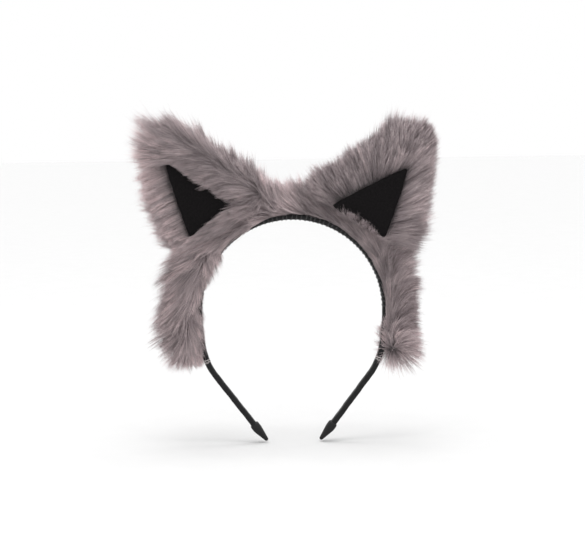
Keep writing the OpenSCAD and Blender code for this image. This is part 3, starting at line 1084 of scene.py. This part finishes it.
def felt(side, mat, rng):
    """Felt triangle: a sheet with soft rounded edges, lying on the ear's cloth."""
    outline = felt_outline(side)
    centre = outline.mean(0)
    along = np.arange(len(outline)) / len(outline) * 2 * math.pi
    ragged = sum(size * np.sin(along * beat + rng.random() * 6.3)
                 for beat, size in ((9, 0.10), (17, 0.08), (31, 0.06), (44, 0.05)))
    outward = unit(outline - centre)
    outline = outline + outward * (ragged * MM)[:, None]
    shares = np.array([0.12, 0.3, 0.48, 0.64, 0.78, 0.88, 0.94, 0.975, 0.992, 1.0])
    flat = centre + shares[:, None, None] * (outline - centre)
    rings, sides = flat.shape[:2]
    flat = flat.reshape(-1, 2)
    share = np.repeat(shares, sides)
    low = FELT_SEAT
    edge = np.sqrt(np.clip(1 - ((share - 0.94) / 0.06).clip(0, 1) ** 2, 0, 1))
    dome = 0.5 * MM * (1 - share ** 2)
    ripple = 0.12 * MM * np.sin(flat[:, 0] * 420) * np.sin(flat[:, 1] * 330 + 1)
    top = low + dome + ripple + (0.75 + 0.65 * edge) * MM
    bottom = low + 0.25 * dome + (0.35 - 0.35 * edge) * MM
    n = np.concatenate([top, bottom, [low + 1.9 * MM, low + 0.12 * MM]])
    spots = np.concatenate([flat, flat, [centre, centre]])
    verts = ear_point(spots[:, 0], spots[:, 1], n, side)
    obj, _ = shell_object(f"felt_triangle_{side}", verts, rings, sides, FORWARD)
    finished(obj, mat, "felt", f"{side}_ear", f"ear_felt_{side}")


# ------------------------------------------------------------ groom

# Guides are x and z in millimetres, direction of the fibres at root and tip in
# degrees (0 along +X, 90 up), and a length factor.
LEFT_EAR = [
    (-82, 136, 128, 124, 1.1), (-77, 118, 160, 158, 0.95), (-87, 121, 112, 104, 1.4),
    (-91, 118, 140, 138, 1.2), (-94, 113, 170, 176, 1.3), (-96, 108, 176, 180, 0.8),
    (-103, 105, 178, 184, 0.65), (-92, 90, 194, 198, 0.72), (-85, 100, 192, 196, 0.9),
    (-64, 103, 188, 191, 1.0), (-57, 96, 200, 200, 0.95), (-43, 83, 200, 200, 0.9),
    (-36, 74, 193, 195, 0.9), (-47, 62, 199, 201, 0.9), (-82, 90, 202, 204, 0.82),
    (-80, 75, 203, 206, 0.8), (-77, 63, 205, 208, 0.68), (-75, 51, 200, 206, 0.5),
    (-17, 66, 150, 146, 0.9), (-37, 50, 190, 196, 0.9), (-51, 46, 195, 200, 0.9),
    (-24, 80, 190, 188, 0.85), (-45, 92, 193, 190, 0.95), (-66, 112, 178, 175, 0.95),
]
LEFT_EAR_CREST = [
    (-18, 84, 140, 106, 1.2), (-30, 94, 158, 110, 1.05), (-45, 108, 160, 112, 1.2),
    (-58, 118, 158, 114, 1.2), (-70, 126, 148, 116, 1.2), (-82, 136, 132, 118, 1.25),
]
# The seam along the top of the left ear, in front of its back fur
CREASE = ((-79, 122), (-25, 83.5))
RIGHT_EAR = [
    (40, 94, 108, 112, 0.68), (61, 110, 94, 92, 0.74), (69, 118, 92, 90, 0.95),
    (78, 119, 76, 74, 0.62), (88, 118, 54, 46, 0.76), (92, 106, 48, 40, 0.66),
    (79, 79, 36, 33, 0.9), (82, 64, 30, 24, 0.95), (71, 59, 19, 12, 0.9),
    (78, 50, 8, 0, 1.05), (71, 47, -5, -14, 1.1), (68, 43, -18, -26, 1.1),
    (29, 72, 152, 150, 0.85), (12, 77, 146, 142, 1.15), (20, 84, 138, 134, 1.0),
    (30, 84, 122, 122, 0.76), (37, 87, 113, 114, 0.62), (44, 62, 84, 72, 0.85),
    (52, 52, 74, 60, 0.75), (35, 67, 104, 90, 0.4), (59, 49, 40, 25, 0.6),
    (64, 49, 8, 2, 0.9),
]
LEFT_STRIP = [
    (-12, 67, 108, 106, 1.4), (-15, 66, 118, 118, 1.2), (-18, 65, 134, 136, 1.1),
    (-24, 62, 176, 182, 0.9), (-30, 58, 196, 204, 0.9), (-38, 50, 192, 205, 0.9),
    (-52, 45, 195, 215, 0.95), (-60, 40, 200, 220, 1.0),
]
RIGHT_STRIP = [
    (14, 66, 122, 118, 1.15), (20, 64, 134, 132, 1.0), (30, 60, 140, 138, 0.8),
    (38, 54, 134, 132, 0.8), (46, 49, 130, 128, 0.85), (54, 40, 126, 124, 0.85),
    (60, 36, 120, 118, 0.85),
]
CROWN = [
    (-16, 66, 122, 108, 1.75), (-11, 67, 114, 104, 1.35), (-6, 68, 114, 106, 0.95),
    (0, 68, 122, 116, 0.88), (6, 68, 132, 124, 1.0), (13, 67, 132, 124, 1.2),
    (17, 66, 124, 118, 1.4),
]
LEFT_OUTER = [
    (-60, 44, 192, 198, 1.3), (-70, 40, 186, 191, 1.65), (-76, 30, 197, 205, 1.4),
    (-64, 34, 215, 222, 1.15), (-68, 21, 238, 240, 1.1), (-70, 1, 240, 242, 1.1),
    (-70, -12, 232, 235, 1.05), (-70, -24, 242, 246, 0.78),
    (-76, 18, 218, 222, 1.2), (-76, 1, 214, 218, 1.1), (-76, -9, 204, 212, 1.05),
    (-75, -20, 204, 212, 0.95), (-74, -29, 214, 226, 1.05),
]
LEFT_INNER = [
    (-50, 43, 272, 294, 0.58), (-56, 35, 265, 286, 0.58), (-62, 22, 258, 272, 0.65),
    (-66, 12, 258, 272, 0.75), (-66, 2, 275, 308, 0.72), (-68, -13, 270, 290, 0.72),
    (-69, -24, 268, 294, 0.62), (-69, -31, 262, 288, 0.45),
]
RIGHT_OUTER = [
    (64, 46, 15, -5, 1.25), (74, 42, 12, -8, 1.4), (78, 30, 35, -35, 0.95),
    (66, 30, 40, 25, 0.9), (69, 14, 72, 52, 0.9), (77, 14, 45, -30, 0.72),
    (70, 0, 74, 54, 0.9), (77, 0, 44, -34, 0.62), (70, -13, 70, 48, 0.8),
    (77, -13, 38, -32, 0.62), (70, -21, 52, 22, 0.8), (76, -21, 22, -28, 0.7),
    (70, -28, -2, -28, 1.1), (75, -29, -14, -36, 1.15), (71.5, -31, -48, -56, 0.95),
]
RIGHT_INNER = [
    (58, 36, 128, 124, 0.7), (62, 30, 120, 114, 0.75), (66, 21, 106, 98, 0.8),
    (68, 8, 97, 88, 0.8), (68, -4, 99, 88, 0.8), (67, -12, 108, 96, 0.75),
    (66, -18, 126, 120, 0.6), (64, -22, 150, 146, 0.5), (66, -27, 160, 160, 0.4),
    (69, -25, 92, 86, 0.6), (68.5, -31, -90, -86, 0.8),
]
# Painted light and shade on the fur, lighter on the lit left and darker on the shaded right and in
# shaded hollows: x, z and change of shade
PAINTED_LIGHT_PLACES = [
    (-98, 120, 0.30), (-96, 100, 0.36), (-88, 80, 0.30), (-80, 62, 0.20), (-72, 118, -0.10),
    (-50, 100, -0.08), (-40, 70, -0.02), (-30, 92, -0.12), (0, 68, -0.06), (30, 90, -0.18),
    (60, 115, -0.26), (85, 122, -0.16), (92, 100, -0.06), (85, 70, 0.0), (60, 50, -0.20),
    (42, 66, -0.30), (75, 20, -0.26), (76, -10, -0.24), (72, -28, 0.06), (-75, 20, -0.02),
    (-75, -10, -0.05), (-72, -28, 0.10),
]
# Height and x of the line where the fur of the sides parts, in millimetres
PARTING = {
    "left": [(-90, -72), (-26, -72), (-6, -72), (20, -66), (43, -57), (80, -40)],
    "right": [(-90, 69), (-29, 69), (0, 69), (24, 67), (43, 57), (80, 40)],
}
# Width over which the two sides of a parting blend, at the foot and above it
PARTING_WIDTH = {"left": (5.0, 1.6), "right": (5.0, 4.0)}


def ear_groom(side, front):
    """Groom of an ear, from its guides in front, and fanned up and outward behind."""
    guides = LEFT_EAR if side == "left" else RIGHT_EAR
    low, high = (np.array(end) * MM for end in CREASE)
    slope = (high[1] - low[1]) / (high[0] - low[0])

    def groom(root):
        start, end, long = combed(root, guides)
        if side == "left":
            crest = combed(root, LEFT_EAR_CREST)
            above = root[:, 2] - low[1] - slope * (root[:, 0] - low[0])
            share = np.where(root[:, 1] > 0, 1, np.clip(0.5 + above / (1.6 * MM), 0, 1))
            share = share * np.clip((root[:, 0] + 0.085) / (3 * MM), 0, 1)
            start, end, long = (
                share * a + (1 - share) * b for a, b in zip(crest, (start % 360, end % 360, long)))
        if front:
            return start, end, long
        u, _ = ear_place(root, side)
        fan = np.clip(u / 0.03, -1, 1) * 48 + 8
        up = 90 - SIDES[side] * math.degrees(math.atan2(EAR_UP[0], EAR_UP[2]))
        behind = up - SIDES[side] * fan
        blend = np.clip(root[:, 1] / (3 * MM), 0, 1)
        turn = (behind - start + 180) % 360 - 180
        return start + blend * turn, start + blend * turn * 1.1, long

    return groom


def side_groom(side):
    """Groom of an arm's strip: along the arch under the ear, parted at the temple."""
    strip, outer, inner = (
        (LEFT_STRIP, LEFT_OUTER, LEFT_INNER) if side == "left"
        else (RIGHT_STRIP, RIGHT_OUTER, RIGHT_INNER))
    parting = np.array(PARTING[side], float) * MM

    def groom(root):
        over = combed(root, strip + outer)
        under = combed(root, inner)
        line = np.interp(root[:, 2], parting[:, 0], parting[:, 1])
        out = (root[:, 0] - line) * SIDES[side]
        width = np.interp(root[:, 2] / MM, [-22, -4], PARTING_WIDTH[side]) * MM
        share = np.clip(0.5 + out / width, 0, 1)
        share = np.where(root[:, 2] > 0.044, 1.0, share)
        angles = [
            a + (1 - share) * ((b - a + 180) % 360 - 180) for a, b in zip(over, under[:2])]
        return *angles, share * over[2] + (1 - share) * under[2]

    return groom


def crown_groom(root):
    return combed(root, CROWN)


# Angles in degrees; lift at the root and the tip; per_ is fibres to each lock, wisp or
# streak; pull is how far a fibre gives way to its lock, wisp or streak; lean is how much
# flatter fur lies on the front and back; depth is how far it reaches there; fur is kept
# off the felts of the ears named in felts
STYLE = {
    "length": 21 * MM, "radius": 0.15, "lift": (24, 3), "per_lock": 110, "per_wisp": 11,
    "per_streak": 45, "lock_yaw": 4, "wisp_yaw": 3, "stray": 2.5, "lock_long": 0.09,
    "lock_lift": 2.0, "streak_lift": 2.2, "wisp_pull": 0.45, "streak_pull": 0.55,
    "lock_pull": 0.18, "contrast": 0.16, "free": 0.10, "frizz": 0.22 * MM,
    "lean": 0.0, "depth": 24 * MM, "felts": (),
}
TOP = 145 * MM
FIBRES_A_PIECE = 9000


def pile(name, rng, skin, count, groom, style, mat, slot, body, node_name, ear=None,
         front=False):
    """A layer of fur on a skin, cut into pieces of even size.

    With ear, the skin is that ear's cloth, and in front its felt is left clear.
    """
    verts, quads = skin
    style = {**STYLE, **style}
    if ear is None:
        root, normal = scatter(rng, verts, quads, count)
        lean = style["lean"] * np.abs(normal[:, 1])
    else:
        def rim(points):
            return edge_distance(np.stack(ear_place(points, ear), -1), EAR_OUTLINE)

        def share(points):
            foot = ear_place(points, ear)[1] < 76 * MM
            return 1 + 1.2 * np.exp(-np.abs(rim(points)) / (4 * MM)) + 5 * foot

        root, normal = scatter(rng, verts, quads, count, share)
        if front:
            outline = felt_outline(ear)
            kept = edge_distance(np.stack(ear_place(root, ear), -1), outline) < 0.4 * MM
            kept &= (rim(root) > 3.5 * MM) | (root[:, 0] > -0.084) | (root[:, 2] < 0.098)
            root, normal = root[kept], normal[kept]
        lean = rng.choice([12.0, 60.0], len(root)) * np.exp(-rim(root) / (2.2 * MM))
    lines, shade, reach = grow(rng, root, normal, groom, style, lean)
    dense = resampled(lines, 17)
    blocked = over_band(dense, reach)
    blocked |= np.abs(dense[..., 1]) > style["depth"] - reach[:, None]
    blocked |= dense[..., 2] > TOP
    if front:
        reach = 0.7 * reach + rng.uniform(0.8, 3.0, len(reach)) * MM
        blocked |= over_felt(dense, ear, outline, reach)
    for nearby in style["felts"]:
        blocked |= over_felt(dense, nearby, felt_outline(nearby), 0.3 * reach)
    lines, kept = cut_short(lines, blocked)
    lines, shade = lines[kept], shade[kept]
    radius = style["radius"] * MM * rng.uniform(0.7, 1.15, len(lines))
    pieces = math.ceil(len(lines) / FIBRES_A_PIECE)
    for number in range(pieces):
        part = slice(number, None, pieces)
        obj = fibre_mesh(f"{name}_{number + 1}", lines[part], shade[part], radius[part])
        finished(obj, mat, slot, body, node_name)


# ------------------------------------------------------------ build

SATIN = satin_material()
CAP = rubber_material("cap_rubber", (0.0045, 0.0045, 0.005), (0.010, 0.010, 0.0105), 2600)
PLASTIC = rubber_material("spring_plastic", (0.014, 0.014, 0.014), (0.024, 0.024, 0.025), 1500)
BACKING = cloth_material()
FELT_CLOTH = felt_material()
DARK_THREAD = thread_material("dark_thread", (0.026, 0.025, 0.026), (0.066, 0.063, 0.065))
PALE_THREAD = thread_material("pale_thread", (0.30, 0.27, 0.27), (0.60, 0.56, 0.55))
GREY_THREAD = thread_material("grey_thread", (0.10, 0.09, 0.09), (0.22, 0.20, 0.20))
WADDING = wadding_material()
WIRE = wire_material()
EAR_FUR = fur_material("ear_front_fur", (0.138, 0.116, 0.119), (0.37, 0.313, 0.318),
                       (0.69, 0.588, 0.592))
BACK_FUR = fur_material("ear_back_fur", (0.130, 0.110, 0.113), (0.35, 0.297, 0.304),
                        (0.65, 0.555, 0.555))
STRIP_FUR = fur_material("strip_fur", (0.140, 0.118, 0.120), (0.40, 0.335, 0.341),
                         (0.73, 0.618, 0.620))

for part in ("crown", "left_arm", "right_arm"):
    frame["nodes"][f"hoop_{part}"].data.materials.clear()
    frame["nodes"][f"hoop_{part}"].data.materials.append(PLASTIC)

for number, side in enumerate(SIDES):
    rng = np.random.default_rng(20 + number)
    sleeve(side, SATIN, rng)
    whip_stitches(f"whip_stitches_{side}_thread", side, 2.2, 77, DARK_THREAD, rng,
                  f"{side}_arm", f"whip_stitches_{side}")
    end_tack(side, PALE_THREAD, rng)
    end_cap(side, CAP)
    wadding(side, WADDING, rng)
    for name, mat in (("ear_stitches", GREY_THREAD), ("ear_wire", WIRE)):
        frame["nodes"][f"{name}_{side}"].data.materials.clear()
        frame["nodes"][f"{name}_{side}"].data.materials.append(mat)

    skin = ear_skin(side, True, BACKING)
    longer = 1.03 if side == "left" else 0.97
    for layer, style in (
        ("under", {"length": 16.5 * MM * longer, "lift": (28, 5)}),
        ("top", {"length": 20.5 * MM * longer, "radius": 0.11, "lift": (25, 3)}),
    ):
        pile(f"ear_front_pile_{layer}_{side}", rng, skin, 17500, ear_groom(side, True), style,
             EAR_FUR, "ear_front_fur", f"{side}_ear", f"ear_front_fur_{side}", side, True)
    pile(f"ear_back_pile_{side}", rng, ear_skin(side, False, BACKING), 17000,
         ear_groom(side, False), {"length": 16.5 * MM * longer},
         BACK_FUR, "ear_back_fur", f"{side}_ear", f"ear_back_fur_{side}", side)
    felt(side, FELT_CLOTH, rng)

    skin = arm_skin(side, BACKING)
    for layer, style in (
        ("under", {"length": 17 * MM, "per_streak": 32}),
        ("top", {"length": 20 * MM, "radius": 0.11, "per_streak": 30}),
    ):
        pile(f"side_pile_{layer}_{side}", rng, skin, 13000, side_groom(side),
             {**style, "contrast": 0.2, "felts": (side,)},
             STRIP_FUR, "strip_fur", f"{side}_arm", f"fur_{side}_side")

rng = np.random.default_rng(5)
whip_stitches("whip_stitches_crown_thread", "right", 78.5, 102.5, DARK_THREAD, rng, "crown")
pile("crown_pile", rng, crown_skin(BACKING), 9000, crown_groom,
     {"length": 20 * MM, "lift": (48, 14), "lean": 55, "felts": SIDES, "depth": 17 * MM},
     STRIP_FUR, "strip_fur", "crown", "fur_crown")


# ------------------------------------------------------------ studio

SCENE = bpy.context.scene


def floor(low):
    """Plain pale floor at a height."""
    mat, tree, shader = material("studio_floor", rough=0.85, specular=0.1)
    ramped(tree, shader, "Base Color", noise(tree, place(tree), 40, 3), [
        (0.3, 0.662), (0.7, 0.674)])
    half = 6.0
    obj = mesh_from("studio_floor", [
        (-half, -half, low), (half, -half, low), (half, half, low), (-half, half, low)],
        [[0, 1, 2, 3]])
    obj.data.materials.append(mat)


def lights():
    """White surroundings, two soft boxes, and a broad sun overhead."""
    world = bpy.data.worlds.new("studio_light")
    world.use_nodes = True
    background = world.node_tree.nodes["Background"]
    background.inputs["Color"].default_value = (1.0, 1.0, 1.0, 1)
    background.inputs["Strength"].default_value = 1.0
    SCENE.world = world
    for name, at, size, watts in (
        ("softbox_top", (-0.25, -0.35, 1.3), 1.0, 2.5),
        ("softbox_front", (0.5, -1.4, 0.7), 1.0, 2.0),
    ):
        light = bpy.data.lights.new(name, "AREA")
        light.energy, light.size = watts, size
        lamp = bpy.data.objects.new(name, light)
        lamp.location = at
        aim = Vector((0, 0, 0.02)) - Vector(at)
        lamp.rotation_euler = aim.to_track_quat("-Z", "Y").to_euler()
        SCENE.collection.objects.link(lamp)
    light = bpy.data.lights.new("overhead", "SUN")
    light.energy, light.angle = 1.4, math.radians(42)
    SCENE.collection.objects.link(bpy.data.objects.new("overhead", light))


def camera():
    """Camera in front and a little above, rolled by less than a degree."""
    data = bpy.data.cameras.new("camera")
    data.sensor_width = 36
    data.lens = 98.7
    data.clip_end = 50
    obj = bpy.data.objects.new("camera", data)
    aim = Vector((0.0004, 0, 0.0238))
    distance, elevation, azimuth = 1.10, math.radians(6), math.radians(-2)
    offset = Vector((
        math.sin(azimuth) * math.cos(elevation),
        -math.cos(azimuth) * math.cos(elevation),
        math.sin(elevation))) * distance
    look = (-offset).to_track_quat("-Z", "Y").to_matrix().to_4x4()
    roll = Matrix.Rotation(math.radians(-0.7), 4, "Z")
    obj.matrix_world = Matrix.Translation(aim + offset) @ look @ roll
    SCENE.collection.objects.link(obj)
    SCENE.camera = obj


SCENE.view_settings.view_transform = "Standard"
floor(CAD_BOX[0][2])
lights()
camera()
